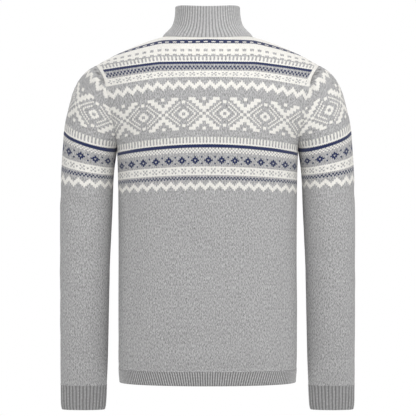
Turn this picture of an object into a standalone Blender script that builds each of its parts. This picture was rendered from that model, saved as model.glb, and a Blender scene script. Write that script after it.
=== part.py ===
"""Nordic yoke sweater, filled out as if worn: nine knitted pieces, each a closed wall.

Metres, +Z up. The wearer faces +Y and the wearer's left arm is at -X. The origin is
midway between the two points where the shoulders meet the neck.
"""

import math

import bpy
import numpy as np

# Cloth and seams
CLOTH = 0.0025
SEAM_GAP = 0.0003
RIB_RAISE = 0.0010

# Heights of the seams and of the landmarks of the torso
HEM_BOTTOM = -0.690
HEM_TOP = -0.662
ARMPIT = -0.226
SADDLE_START = -0.150
CUFF_TOP = -0.697
CUFF_BOTTOM = -0.747

# Shoulder line: its height at the middle, and how it falls to the shoulder tips
RIDGE_TOP = 0.0126
RIDGE_FALL = 1.127
RIDGE_POWER = 1.85
NECK_HALF = 0.090
SHOULDER_HALF = 0.2225

# Roundness: 2 is an ellipse, more is squarer
TORSO_ROUND = 2.2
SADDLE_ROUND = {"back": 2.2, "front": 1.7}
NECK_DEPTH = {"back": 0.068, "front": 0.095}
DEPTH_SIGN = {"back": -1.0, "front": 1.0}

# Mesh counts
NECK_COLUMNS = 14
SHOULDER_COLUMNS = 6
SLEEVE_COLUMNS = 24
TORSO_ROWS = (HEM_TOP, -0.602, -0.538, -0.473, -0.408, -0.347, -0.292, -0.252, ARMPIT)
ARMHOLE_HEIGHTS = (
    ARMPIT, -0.2225, -0.213, -0.198, -0.178, -0.155, -0.130, -0.105, -0.085, -0.0685,
)
PROFILE_STEPS = 160
HEM_RIBS = 72
CUFF_RIBS = 36
COLLAR_RIBS = 70
HEM_ROWS = 3

TORSO_COLUMNS = ("height", "half_width", "panel_half", "back_depth", "front_depth")
TORSO_SECTIONS = (
    (HEM_BOTTOM, 0.1755, 0.1755, 0.1130, 0.1130),
    (HEM_TOP, 0.1775, 0.1775, 0.1165, 0.1170),
    (-0.630, 0.1785, 0.1785, 0.1215, 0.1230),
    (-0.560, 0.1785, 0.1785, 0.1215, 0.1250),
    (-0.440, 0.1780, 0.1780, 0.1200, 0.1260),
    (-0.320, 0.1785, 0.1785, 0.1275, 0.1310),
    (ARMPIT, 0.1810, 0.1810, 0.1340, 0.1360),
    (-0.213, 0.1845, 0.1810, 0.1340, 0.1360),
    (-0.198, 0.1900, 0.1815, 0.1338, 0.1360),
    (-0.178, 0.1990, 0.1865, 0.1334, 0.1355),
    (-0.155, 0.2090, 0.1910, 0.1330, 0.1350),
    (-0.130, 0.2160, 0.1960, 0.1330, 0.1350),
    (-0.105, 0.2210, 0.2005, 0.1330, 0.1350),
    (-0.085, 0.2245, 0.2055, 0.1330, 0.1350),
    (-0.0685, 0.2320, 0.2145, 0.1330, 0.1350),
    (-0.0573, 0.2400, SHOULDER_HALF, 0.1330, 0.1350),
)

# Closed rings of the sleeve below the armpit: outer and inner edge, half depth,
# how far the ring sits forward, and how far its back hangs below its edges
SLEEVE_COLUMN_NAMES = ("outer_x", "outer_z", "inner_x", "inner_z", "depth", "forward", "sag")
SLEEVE_SECTIONS = (
    (0.2895, -0.2200, 0.1838, -0.2440, 0.0568, 0.000, 0.0085),
    (0.2917, -0.2520, 0.1867, -0.2660, 0.0560, 0.000, 0.0060),
    (0.2935, -0.2870, 0.1885, -0.2930, 0.0548, 0.000, 0.0034),
    (0.2947, -0.3350, 0.1900, -0.3390, 0.0528, 0.000, 0.0018),
    (0.2952, -0.3900, 0.1925, -0.3915, 0.0500, 0.001, 0.0008),
    (0.2954, -0.4450, 0.1950, -0.4450, 0.0470, 0.003, 0.0),
    (0.2955, -0.5000, 0.1965, -0.5000, 0.0440, 0.006, 0.0),
    (0.2955, -0.5550, 0.1978, -0.5550, 0.0408, 0.010, 0.0),
    (0.2955, -0.6100, 0.1990, -0.6100, 0.0370, 0.014, 0.0),
    (0.2955, -0.6550, 0.2003, -0.6550, 0.0330, 0.018, 0.0),
    (0.2955, -0.6820, 0.2015, -0.6820, 0.0300, 0.021, 0.0),
    (0.2950, CUFF_TOP, 0.2025, CUFF_TOP, 0.0262, 0.0225, 0.0),
)
CUFF_SECTIONS = (
    (0.2950, CUFF_TOP, 0.2025, CUFF_TOP, 0.0262, 0.0225, 0.0),
    (0.2950, -0.7220, 0.2035, -0.7220, 0.0235, 0.0240, 0.0),
    (0.2944, -0.7390, 0.2048, -0.7390, 0.0222, 0.0252, 0.0),
    (0.2925, CUFF_BOTTOM, 0.2068, CUFF_BOTTOM, 0.0215, 0.0258, 0.0),
)

# Top line of the sleeve, from the shoulder tip down to the armpit ring
RIDGE_LINE = (
    (SHOULDER_HALF, -0.0573), (0.2330, -0.0625), (0.2430, -0.0695), (0.2515, -0.0785),
    (0.2590, -0.0885), (0.2655, -0.1010), (0.2710, -0.1150), (0.2750, -0.1300),
    (0.2790, -0.1460), (0.2830, -0.1620), (0.2858, -0.1770), (0.2877, -0.1925),
)
CAP_COLUMNS = ("seam_share", "ridge_share", "depth", "sag")
CAP_SECTIONS = (
    (0.00, 0.000, 0.0570, 0.0110),
    (0.12, 0.150, 0.0595, 0.0100),
    (0.33, 0.450, 0.0650, 0.0070),
    (0.60, 0.850, 0.0640, 0.0030),
    (0.80, 0.950, 0.0520, 0.0010),
    (1.00, 1.000, 0.0300, 0.0000),
)

# Past this share of the armhole the cap turns from a wrapped ring to a flat end
CAP_TURN = 0.60
CAP_END = math.radians(85)

# Collar: share of its height, and share of the way in from its foot to its top ring
COLLAR_COLUMNS = ("rise", "inward")
COLLAR_SECTIONS = (
    (0.00, 0.00), (0.10, 0.17), (0.23, 0.48), (0.36, 0.73), (0.56, 0.90), (0.78, 0.98), (1.00, 1.00),
)
COLLAR_TOP_HALF = 0.0642
COLLAR_TOP_DEPTH = 0.0665
COLLAR_TOP_FORWARD = 0.0120
COLLAR_TOP_HEIGHT = 0.0605
COLLAR_TOP_TILT = 0.0067
COLLAR_TOP_DIP = 0.0097

# Soft folds: the middle of each as a share across its piece (or of the way round a
# sleeve) and a height, its slope, reach, breadth and depth
FOLD_COLUMNS = ("piece", "across", "height", "slope", "reach", "breadth", "depth")
FOLDS = (
    ("back", -0.74, -0.300, -62.0, 0.070, 0.016, 0.0024),
    ("back", 0.75, -0.308, 60.0, 0.066, 0.015, 0.0022),
    ("back", -0.60, -0.520, 82.0, 0.110, 0.024, 0.0032),
    ("back", 0.66, -0.560, -84.0, 0.090, 0.022, 0.0026),
    ("back", -0.15, -0.610, 8.0, 0.090, 0.016, 0.0020),
    ("front", -0.70, -0.290, -60.0, 0.085, 0.018, 0.0034),
    ("front", 0.72, -0.300, 58.0, 0.080, 0.017, 0.0030),
    ("front", -0.55, -0.540, -82.0, 0.100, 0.024, 0.0030),
    ("front", 0.58, -0.500, 80.0, 0.110, 0.024, 0.0032),
    ("sleeve", -0.30, -0.330, 24.0, 0.050, 0.014, 0.0026),
    ("sleeve", -0.42, -0.445, -14.0, 0.055, 0.013, 0.0022),
    ("sleeve", 0.45, -0.415, 12.0, 0.050, 0.012, 0.0036),
    ("sleeve", 0.55, -0.455, -8.0, 0.055, 0.012, 0.0040),
    ("sleeve", 0.40, -0.500, 14.0, 0.045, 0.013, 0.0030),
    ("sleeve", -0.50, -0.640, 10.0, 0.045, 0.012, 0.0022),
    ("sleeve", 0.50, -0.650, -10.0, 0.045, 0.012, 0.0024),
)

FOLD_SCALE = {"back": 0.26, "front": 0.26, "sleeve": 0.155}

# Folds fade out towards a piece's edges: powers of the share across, and distances in height
PANEL_FADE = 6
SLEEVE_FADE = 8
HEM_FADE = 0.030
CUFF_FADE = 0.020
ARMPIT_FADE = 0.040

SETTLING_ROUNDS = 8
TINY = 1e-9
HEATHER_GREY = (0.375, 0.375, 0.385, 1.0)
SHARP_ANGLE = math.radians(50)


def clear_scene():
    for old in list(bpy.data.objects):
        bpy.data.objects.remove(old, do_unlink=True)


def smooth_curve(stations, values, wanted):
    """A cubic through a table's rows that never overshoots between them."""
    stations = np.asarray(stations, float)
    values = np.asarray(values, float)
    if stations[0] > stations[-1]:
        stations, values = stations[::-1], values[::-1]
    steps = np.diff(stations)
    slopes = np.diff(values) / steps
    tangents = np.zeros(len(values))
    tangents[0], tangents[-1] = slopes[0], slopes[-1]
    product = slopes[:-1] * slopes[1:]
    total = np.where(product > 0, slopes[:-1] + slopes[1:], 1.0)
    tangents[1:-1] = np.where(product > 0, 2 * product / total, 0.0)
    wanted = np.clip(wanted, stations[0], stations[-1])
    left = np.clip(np.searchsorted(stations, wanted) - 1, 0, len(steps) - 1)
    step = steps[left]
    share = (wanted - stations[left]) / step
    rest = 1 - share
    start = values[left] * (1 + 2 * share) + step * share * tangents[left]
    end = values[left + 1] * (1 + 2 * rest) - step * rest * tangents[left + 1]
    return rest**2 * start + share**2 * end


def table_value(rows, names, key, name, wanted):
    return smooth_curve(
        [row[names.index(key)] for row in rows], [row[names.index(name)] for row in rows], wanted
    )


def torso_value(name, height):
    return table_value(TORSO_SECTIONS, TORSO_COLUMNS, "height", name, height)


def ridge_height(x):
    """The shoulder line, where front and back meet."""
    return RIDGE_TOP - RIDGE_FALL * np.abs(x) ** RIDGE_POWER


def torso_points(side, across, climb):
    """Points of one side of the torso.

    across runs from -1 to 1 between the panel's edges. climb is metres below
    SADDLE_START where it is negative, and the angle up over the shoulder where positive.
    """
    angle = np.clip(climb, 0.0, math.pi / 2)
    power = 2 / SADDLE_ROUND[side]
    rise = np.sin(angle) ** power
    flat = SADDLE_START + np.minimum(climb, 0.0)
    height = flat
    for _ in range(SETTLING_ROUNDS):
        half = torso_value("half_width", height)
        panel = np.minimum(torso_value("panel_half", height) / half, 1)
        x = half * np.sin(np.arcsin(panel) * across)
        height = flat + rise * (ridge_height(x) - SADDLE_START)
    bulge = (1 - np.minimum(np.abs(x / half), 1) ** TORSO_ROUND) ** (1 / TORSO_ROUND)
    depth = torso_value(side + "_depth", height) * bulge * np.maximum(np.cos(angle), 0) ** power
    return np.stack([x, DEPTH_SIGN[side] * depth, height], axis=-1)


def neck_across(x):
    """How far across a panel a point of its top edge lies, from its x."""
    half = torso_value("half_width", ridge_height(SHOULDER_HALF))
    return np.arcsin(x / half) / math.asin(SHOULDER_HALF / half)


def top_angle(side, across):
    """Where a column ends: on the neckline, or on the shoulder line beyond it."""
    half = torso_value("half_width", ridge_height(SHOULDER_HALF))
    x = half * math.sin(math.asin(SHOULDER_HALF / half) * across)
    inside = 1 - (x / NECK_HALF) ** 2
    if inside <= TINY:
        return math.pi / 2
    bulge = (1 - abs(x / half) ** TORSO_ROUND) ** (1 / TORSO_ROUND)
    depth = torso_value(side + "_depth", ridge_height(SHOULDER_HALF)) * bulge
    return math.acos((NECK_DEPTH[side] * math.sqrt(inside) / depth) ** (SADDLE_ROUND[side] / 2))


def upper_column(side, across):
    """A closely spaced line up one side, from the armpit's height to the panel's top edge."""
    straight = np.linspace(ARMPIT - SADDLE_START, 0, PROFILE_STEPS)[:-1]
    curved = np.linspace(0, top_angle(side, across), PROFILE_STEPS)
    return torso_points(side, across, np.concatenate([straight, curved]))


def path_shares(points):
    lengths = np.linalg.norm(np.diff(points, axis=0), axis=1)
    total = np.concatenate([[0], np.cumsum(lengths)])
    return total / total[-1]


def along(points, shares):
    own = path_shares(points)
    return np.stack([np.interp(shares, own, points[:, axis]) for axis in range(3)], axis=-1)


def armhole_shares(side):
    """How far up the armhole each of its rows lies, from the armpit to the shoulder tip."""
    seam = upper_column(side, 1.0)
    return np.append(np.interp(ARMHOLE_HEIGHTS, seam[:, 2], path_shares(seam)), 1.0)


def panel_stations():
    neck = neck_across(NECK_HALF * np.sin(np.linspace(-math.pi / 2, math.pi / 2, NECK_COLUMNS + 1)))
    shoulder = np.linspace(neck[-1], 1, SHOULDER_COLUMNS + 1)[1:]
    return np.concatenate([-shoulder[::-1], neck, shoulder])


def panel_grid(side):
    """The outer points of the back or front, rows from the hem's seam to the top edge."""
    shares = armhole_shares(side)
    columns = []
    for across in panel_stations():
        low = torso_points(side, across, np.array(TORSO_ROWS[:-1]) - SADDLE_START)
        columns.append(np.concatenate([low, along(upper_column(side, across), shares)]))
    grid = np.stack(columns, axis=1)
    return grid if side == "back" else grid[:, ::-1]


def arm_half(outer, seam, depth, sag, end, steps):
    """Half a ring of the sleeve, from its outer edge to its seam, as a part of an ellipse."""
    reach = outer[[0, 2]] - seam[[0, 2]]
    angles = end * np.linspace(0, 1, steps + 1)
    inward = (1 - np.cos(angles)) / (1 - math.cos(end))
    x, z = (outer[axis] - inward * span for axis, span in zip((0, 2), reach))
    y = depth * np.sin(angles)
    return np.stack([x, y, z - sag * np.sin(math.pi * angles / end)], axis=-1)


def ridge_point(share):
    """A point of the sleeve's top line, from the armpit ring up to the shoulder tip."""
    line = np.array([(x, 0.0, z) for x, z in reversed(RIDGE_LINE)])
    return along(line, [share])[0]


def cap_half(side, seam, share, steps):
    seam_names = (CAP_SECTIONS, CAP_COLUMNS, "seam_share")
    outer = ridge_point(float(table_value(*seam_names, "ridge_share", share)))
    depth = float(table_value(*seam_names, "depth", share))
    sag = float(table_value(*seam_names, "sag", share))
    seam_depth = abs(seam[1])
    if share >= 1:
        return np.repeat(outer[None], steps + 1, axis=0)
    end = math.pi
    if seam_depth > TINY:
        wrapped = math.pi - math.asin(min(seam_depth / depth, 1.0))
        top = min(max((share - CAP_TURN) / (1 - CAP_TURN), 0), 1)
        end = wrapped + (CAP_END - wrapped) * top**2 * (3 - 2 * top)
        depth = seam_depth / math.sin(end)
    return arm_half(outer, seam, DEPTH_SIGN[side] * depth, sag, end, steps)


def sleeve_grid(back, front, columns):
    """The outer points of the right sleeve, rows from the cuff's seam to the shoulder tip."""
    steps = columns // 2
    rows = []
    for values in reversed(SLEEVE_SECTIONS):
        row = dict(zip(SLEEVE_COLUMN_NAMES, values))
        outer = np.array([row["outer_x"], 0.0, row["outer_z"]])
        seam = np.array([row["inner_x"], 0.0, row["inner_z"]])
        half = arm_half(outer, seam, row["depth"], row["sag"], math.pi, steps)
        mirrored = half * (1, -1, 1)
        rows.append(np.concatenate([mirrored[::-1], half[1:]]) + (0, row["forward"], 0))
    shares = armhole_shares("back")
    first = len(TORSO_ROWS) - 1
    for place, share in enumerate(shares):
        behind = cap_half("back", back[first + place, -1], share, steps)
        ahead = cap_half("front", front[first + place, 0], share, steps)
        rows.append(np.concatenate([behind[::-1], ahead[1:]]))
    return np.stack(rows)


def neck_point(turn):
    """A point of the neckline, turn being the angle round it from the wearer's right."""
    side = "back" if math.sin(turn) < 0 else "front"
    across = float(neck_across(NECK_HALF * math.cos(turn)))
    return torso_points(side, across, np.array(top_angle(side, across)))


def collar_point(turn, rise):
    foot = neck_point(turn)
    ahead = math.sin(turn)
    top = np.array((
        COLLAR_TOP_HALF * math.cos(turn),
        COLLAR_TOP_FORWARD + COLLAR_TOP_DEPTH * ahead,
        COLLAR_TOP_HEIGHT - COLLAR_TOP_TILT * ahead - COLLAR_TOP_DIP * ahead**2,
    ))
    inward = float(table_value(COLLAR_SECTIONS, COLLAR_COLUMNS, "rise", "inward", rise))
    share = np.array((inward, inward, rise))
    return foot + share * (top - foot)


def collar_grid(columns):
    """Rows of the collar from its foot up, from the wearer's left round the back."""
    turns = math.pi + np.linspace(0, 2 * math.pi, columns + 1)
    return np.array([[collar_point(turn, rise) for turn in turns] for rise, _ in COLLAR_SECTIONS])


def fold_depth(piece, across, height):
    """How far the soft folds draw a piece in, at a share across it and a height."""
    drawn = np.zeros(np.shape(height))
    for values in FOLDS:
        fold = dict(zip(FOLD_COLUMNS, values))
        if fold["piece"] != piece:
            continue
        slope = math.radians(fold["slope"])
        side = (across - fold["across"]) * FOLD_SCALE[piece]
        up = height - fold["height"]
        length = side * math.cos(slope) + up * math.sin(slope)
        breadth = up * math.cos(slope) - side * math.sin(slope)
        drawn += fold["depth"] * np.exp(
            -((length / fold["reach"]) ** 2) - (breadth / fold["breadth"]) ** 2
        )
    return drawn


def grid_normals(grid):
    """Outward directions at the points of a grid, from its own faces."""
    across = np.gradient(grid, axis=1)
    up = np.gradient(grid, axis=0)
    normals = np.cross(across, up)
    return normals / np.maximum(np.linalg.norm(normals, axis=2, keepdims=True), TINY)


def fold_panel(side, grid):
    across = panel_stations() if side == "back" else -panel_stations()
    height = grid[..., 2]
    edge = (1 - np.abs(across) ** PANEL_FADE) * np.clip((height - HEM_TOP) / HEM_FADE, 0, 1)
    drawn = fold_depth(side, np.broadcast_to(across, height.shape), height) * edge
    return grid - grid_normals(grid) * drawn[..., None]


def fold_sleeve(grid):
    around = np.broadcast_to(np.linspace(-1, 1, grid.shape[1]), grid.shape[:2])
    height = grid[..., 2]
    edge = (1 - np.abs(around) ** SLEEVE_FADE) * np.clip((height - CUFF_TOP) / CUFF_FADE, 0, 1)
    edge = edge * np.clip((ARMPIT - height) / ARMPIT_FADE, 0, 1)
    drawn = fold_depth("sleeve", around, height) * edge
    return grid - grid_normals(grid) * drawn[..., None]


def point_key(point):
    return tuple(np.round(point, 6))


def shared_normals(grids):
    """Outward directions that neighbouring pieces share where they meet."""
    sums = {}
    for grid in grids:
        diagonal = grid[1:, 1:] - grid[:-1, :-1]
        other = grid[1:, :-1] - grid[:-1, 1:]
        faces = np.cross(diagonal, other)
        lengths = np.linalg.norm(faces, axis=2)
        for row, place in zip(*np.nonzero(lengths > TINY)):
            normal = faces[row, place] / lengths[row, place]
            for corner in ((row, place), (row + 1, place), (row, place + 1), (row + 1, place + 1)):
                key = point_key(grid[corner])
                sums[key] = sums.get(key, 0) + normal
    for end in (-1, 1):
        armpit = point_key((end * float(torso_value("panel_half", ARMPIT)), 0.0, ARMPIT))
        sums[armpit] = np.array((0.0, 0.0, -1.0))
    return {key: total / np.linalg.norm(total) for key, total in sums.items()}


def looked_up(normals, grid, level_rows=()):
    """The shared directions at a grid's points, kept level in the rows that lie on a level seam."""
    found = np.array([[normals[point_key(point)] for point in row] for row in grid])
    for row in level_rows:
        found[row, :, 2] = 0
        found[row] /= np.linalg.norm(found[row], axis=1, keepdims=True)
    return found


def drawn_back(points, neighbours, distance):
    """Points moved towards their neighbours, which leaves the gap at a seam."""
    away = neighbours - points
    lengths = np.maximum(np.linalg.norm(away, axis=-1, keepdims=True), TINY)
    return points + away * (distance / lengths)


class Wall:
    """A closed wall between an outer and an inner grid of points."""

    def __init__(self):
        self.points = []
        self.faces = []
        self.found = {}

    def vertex(self, point):
        key = tuple(np.round(point, 8))
        if key not in self.found:
            self.found[key] = len(self.points)
            self.points.append(tuple(float(value) for value in point))
        return self.found[key]

    def face(self, *points, turned=False):
        corners = list(dict.fromkeys(self.vertex(point) for point in points))
        if len(corners) > 2:
            self.faces.append(corners[::-1] if turned else corners)

    def surface(self, grid, turned=False):
        for low, high in zip(grid[:-1], grid[1:]):
            for place in range(len(low) - 1):
                corners = (low[place], low[place + 1], high[place + 1], high[place])
                self.face(*corners, turned=turned)

    def rim(self, outer, inner, turned=False):
        """The strip between an outer and an inner edge, where the inner may have fewer points."""
        ratio = (len(outer) - 1) // (len(inner) - 1)
        for place in range(len(inner) - 1):
            first, last = place * ratio, (place + 1) * ratio
            middle = (first + last) // 2
            for step in range(first, middle):
                self.face(outer[step + 1], outer[step], inner[place], turned=turned)
            self.face(outer[middle], inner[place], inner[place + 1], turned=turned)
            for step in range(middle, last):
                self.face(outer[step + 1], outer[step], inner[place + 1], turned=turned)

    def object(self, name):
        mesh = bpy.data.meshes.new(name)
        mesh.from_pydata(self.points, [], self.faces)
        mesh.validate()
        mesh.shade_smooth()
        mesh.set_sharp_from_angle(angle=SHARP_ANGLE)
        return bpy.data.objects.new(name, mesh)


def closed_wall(outer, inner, open_rows):
    """A wall with rims below and above, and down the sides of the rows that aren't closed."""
    wall = Wall()
    wall.surface(outer)
    wall.surface(inner, turned=True)
    wall.rim(outer[0], inner[0])
    wall.rim(outer[-1], inner[-1], turned=True)
    if open_rows:
        wall.rim(outer[-open_rows:, 0], inner[-open_rows:, 0], turned=True)
        wall.rim(outer[-open_rows:, -1], inner[-open_rows:, -1])
    return wall


def ribbed_wall(base, normals, inner, inner_normals, open_sides):
    """A wall whose outer points stand out on every other column, over a plain inside."""
    raised = np.where(np.arange(base.shape[1]) % 2 == 1, RIB_RAISE, 0.0)
    outer = base + normals * raised[None, :, None]
    plain = inner - inner_normals * CLOTH
    for grid in (outer, plain):
        ease_rows(grid)
        if open_sides:
            ease_columns(grid, grid.shape[0])
    return closed_wall(outer, plain, base.shape[0] if open_sides else 0)


def ease_rows(grid):
    grid[0] = drawn_back(grid[0], grid[1], SEAM_GAP / 2)
    grid[-1] = drawn_back(grid[-1], grid[-2], SEAM_GAP / 2)


def ease_columns(grid, open_rows):
    grid[-open_rows:, 0] = drawn_back(grid[-open_rows:, 0], grid[-open_rows:, 1], SEAM_GAP / 2)
    grid[-open_rows:, -1] = drawn_back(grid[-open_rows:, -1], grid[-open_rows:, -2], SEAM_GAP / 2)


def panel_wall(grid, normals):
    directions = looked_up(normals, grid, level_rows=(0,))
    inner = grid - directions * CLOTH
    outer = grid.copy()
    for one in (outer, inner):
        ease_rows(one)
        ease_columns(one, len(one))
    return closed_wall(outer, inner, len(grid))


def sleeve_wall(grid, normals):
    directions = looked_up(normals, grid, level_rows=(0,))
    inner = grid - directions * CLOTH
    outer = grid.copy()
    cap_rows = len(ARMHOLE_HEIGHTS)
    armpit_row = len(grid) - cap_rows - 1
    outward = np.array((math.copysign(SEAM_GAP, grid[armpit_row, 0, 0]), 0, 0))
    middle = grid.shape[1] // 2
    for one in (outer, inner):
        one[0] = drawn_back(one[0], one[1], SEAM_GAP / 2)
        tip = drawn_back(one[-1, middle], one[-2, middle], SEAM_GAP)
        ease_columns(one, cap_rows)
        one[armpit_row, [0, -1]] += outward
        one[-1] = tip
    return closed_wall(outer, inner, cap_rows + 1)


def row_normals(row, closed):
    """Level directions outwards from a row that runs round from the left by the back."""
    if closed:
        ring = row[:-1]
        along_row = np.roll(ring, -1, axis=0) - np.roll(ring, 1, axis=0)
        along_row = np.concatenate([along_row, along_row[:1]])
    else:
        along_row = np.gradient(row, axis=0)
        along_row[[0, -1]] = ((0, DEPTH_SIGN["back"], 0), (0, DEPTH_SIGN["front"], 0))
    outward = np.stack([along_row[:, 1], -along_row[:, 0], np.zeros(len(row))], axis=-1)
    return outward / np.linalg.norm(outward, axis=1, keepdims=True)


def even_rows(make_row, heights, count, closed):
    """Rows of evenly spaced points, and their outward directions."""
    shares = np.linspace(0, 1, count + 1)
    rows = np.array([along(make_row(height), shares) for height in heights])
    return rows, np.array([row_normals(row, closed) for row in rows])


def hem_wall(side):
    def row(height):
        across = np.linspace(-1, 1, PROFILE_STEPS + 1)
        points = np.array([torso_points(side, one, np.array(height - SADDLE_START)) for one in across])
        return points if side == "back" else points[::-1]

    heights = np.linspace(HEM_BOTTOM, HEM_TOP, HEM_ROWS)
    base, normals = even_rows(row, heights, 2 * HEM_RIBS, closed=False)
    inner, inner_normals = even_rows(row, heights, HEM_RIBS // 2, closed=False)
    if side == "front":
        for ends in (normals, inner_normals):
            ends[:, [0, -1]] *= -1
    return ribbed_wall(base, normals, inner, inner_normals, open_sides=True)


def cuff_wall(end):
    def row(height):
        values = [
            float(table_value(CUFF_SECTIONS, SLEEVE_COLUMN_NAMES, "outer_z", name, height))
            for name in ("outer_x", "inner_x", "depth", "forward")
        ]
        outer_x, inner_x, depth, forward = values
        turns = math.pi + np.linspace(0, 2 * math.pi, PROFILE_STEPS + 1)
        centre = end * (outer_x + inner_x) / 2
        half = (outer_x - inner_x) / 2
        x, y = centre + half * np.cos(turns), forward + depth * np.sin(turns)
        return np.stack([x, y, np.full(len(turns), height)], axis=-1)

    heights = [values[1] for values in reversed(CUFF_SECTIONS)]
    base, normals = even_rows(row, heights, 2 * CUFF_RIBS, closed=True)
    inner, inner_normals = even_rows(row, heights, SLEEVE_COLUMNS, closed=True)
    return ribbed_wall(base, normals, inner, inner_normals, open_sides=False)


def split_row(row, parts):
    """A row of straight runs, each cut into equal parts."""
    places = np.linspace(0, len(row) - 1, (len(row) - 1) * parts + 1)
    return np.stack([np.interp(places, np.arange(len(row)), row[:, axis]) for axis in range(3)], -1)


def collar_wall(coarse, normals):
    """The ribbed collar, its foot on the straight runs of the panels' neck edges."""
    neck_columns = coarse.shape[1] - 1
    foot = looked_up(normals, coarse[:1])[0]
    grids = []
    for columns in (2 * COLLAR_RIBS, neck_columns):
        parts = columns // neck_columns
        grid = collar_grid(columns)
        directions = grid_normals(grid)
        ends = directions[:, 0] + directions[:, -1]
        directions[:, [0, -1]] = (ends / np.linalg.norm(ends, axis=1, keepdims=True))[:, None]
        grid[0] = split_row(coarse[0], parts)
        directions[0] = split_row(foot, parts)
        directions[-1, :, 2] = 0
        directions[-1] /= np.linalg.norm(directions[-1], axis=1, keepdims=True)
        grids += [grid, directions]
    return ribbed_wall(*grids, open_sides=False)


def knit_material(name):
    material = bpy.data.materials.new(name + "_knit")
    material.use_nodes = True
    shader = material.node_tree.nodes["Principled BSDF"]
    shader.inputs["Base Color"].default_value = HEATHER_GREY
    shader.inputs["Roughness"].default_value = 0.9
    shader.inputs["Metallic"].default_value = 0.0
    return material


def build():
    clear_scene()
    back = fold_panel("back", panel_grid("back"))
    front = fold_panel("front", panel_grid("front"))
    right = fold_sleeve(sleeve_grid(back, front, SLEEVE_COLUMNS))
    left = (right * (-1, 1, 1))[:, ::-1]
    collar = collar_grid(2 * NECK_COLUMNS)
    normals = shared_normals((back, front, right, left, collar))
    walls = {
        "back": panel_wall(back, normals),
        "front": panel_wall(front, normals),
        "sleeve_left": sleeve_wall(left, normals),
        "sleeve_right": sleeve_wall(right, normals),
        "collar": collar_wall(collar, normals),
        "cuff_left": cuff_wall(-1),
        "cuff_right": cuff_wall(1),
        "hem_back": hem_wall("back"),
        "hem_front": hem_wall("front"),
    }
    collection = bpy.data.collections.new("nordic_yoke_sweater")
    bpy.context.scene.collection.children.link(collection)
    for name, wall in walls.items():
        piece = wall.object(name)
        piece.data.materials.append(knit_material(name))
        collection.objects.link(piece)


build()
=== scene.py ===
"""Nordic yoke sweater: knitted surfaces over the nine solids, with charted colourwork.

Each piece is a thin closed shell whose grid follows the knitting: half a stitch to a column
and, where there is a pattern, one knit row to a row. Charts give each stitch its yarn.
Lengths are in metres. Heights are measured from the middle of the neck's base.
"""

import math

import bpy
import numpy as np
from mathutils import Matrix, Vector


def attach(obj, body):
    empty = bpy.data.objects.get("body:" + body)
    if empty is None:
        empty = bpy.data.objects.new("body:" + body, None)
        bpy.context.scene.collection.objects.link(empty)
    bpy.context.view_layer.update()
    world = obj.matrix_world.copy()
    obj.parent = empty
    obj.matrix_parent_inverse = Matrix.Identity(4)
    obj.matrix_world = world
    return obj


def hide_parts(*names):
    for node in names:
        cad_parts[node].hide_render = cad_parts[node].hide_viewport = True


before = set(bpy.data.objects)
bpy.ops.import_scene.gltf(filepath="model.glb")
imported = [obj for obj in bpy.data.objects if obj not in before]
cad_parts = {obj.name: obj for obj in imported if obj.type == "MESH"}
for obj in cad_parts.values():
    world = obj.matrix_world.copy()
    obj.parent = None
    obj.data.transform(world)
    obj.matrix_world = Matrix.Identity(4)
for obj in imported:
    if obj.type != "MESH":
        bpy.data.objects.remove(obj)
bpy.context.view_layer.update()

# Thickness of the cloth, and height of a knit row
CLOTH = 0.0025
ROW = 0.0030

# Heights of the seams and the free edges, and of where the torso starts to curve in to the
# shoulders
HEM_BOTTOM = -0.690
HEM_TOP = -0.662
SADDLE_START = -0.150
CUFF_TOP = -0.697
CUFF_BOTTOM = -0.747

# Shoulder line: its height at the middle, and how it falls to the shoulder tips
RIDGE_TOP = 0.0126
RIDGE_FALL = 1.127
RIDGE_POWER = 1.85
NECK_HALF = 0.090
SHOULDER_HALF = 0.2225

# Roundness: 2 is an ellipse, more is squarer
TORSO_ROUND = 2.2
SADDLE_ROUND = {"back": 2.2, "front": 1.7}
NECK_DEPTH = {"back": 0.068, "front": 0.095}
DEPTH_SIGN = {"back": -1.0, "front": 1.0}

# The torso by height: half its width, half the width of its panels, and its depths
ARMPIT = -0.226
TORSO_COLUMNS = ("height", "half_width", "panel_half", "back_depth", "front_depth")
TORSO_SECTIONS = (
    (HEM_BOTTOM, 0.1755, 0.1755, 0.1130, 0.1130),
    (HEM_TOP, 0.1775, 0.1775, 0.1165, 0.1170),
    (-0.630, 0.1785, 0.1785, 0.1215, 0.1230),
    (-0.560, 0.1785, 0.1785, 0.1215, 0.1250),
    (-0.440, 0.1780, 0.1780, 0.1200, 0.1260),
    (-0.320, 0.1785, 0.1785, 0.1275, 0.1310),
    (ARMPIT, 0.1810, 0.1810, 0.1340, 0.1360),
    (-0.213, 0.1845, 0.1810, 0.1340, 0.1360),
    (-0.198, 0.1900, 0.1815, 0.1338, 0.1360),
    (-0.178, 0.1990, 0.1865, 0.1334, 0.1355),
    (-0.155, 0.2090, 0.1910, 0.1330, 0.1350),
    (-0.130, 0.2160, 0.1960, 0.1330, 0.1350),
    (-0.105, 0.2210, 0.2005, 0.1330, 0.1350),
    (-0.085, 0.2245, 0.2055, 0.1330, 0.1350),
    (-0.0685, 0.2320, 0.2145, 0.1330, 0.1350),
    (-0.0573, 0.2400, SHOULDER_HALF, 0.1330, 0.1350),
)

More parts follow.
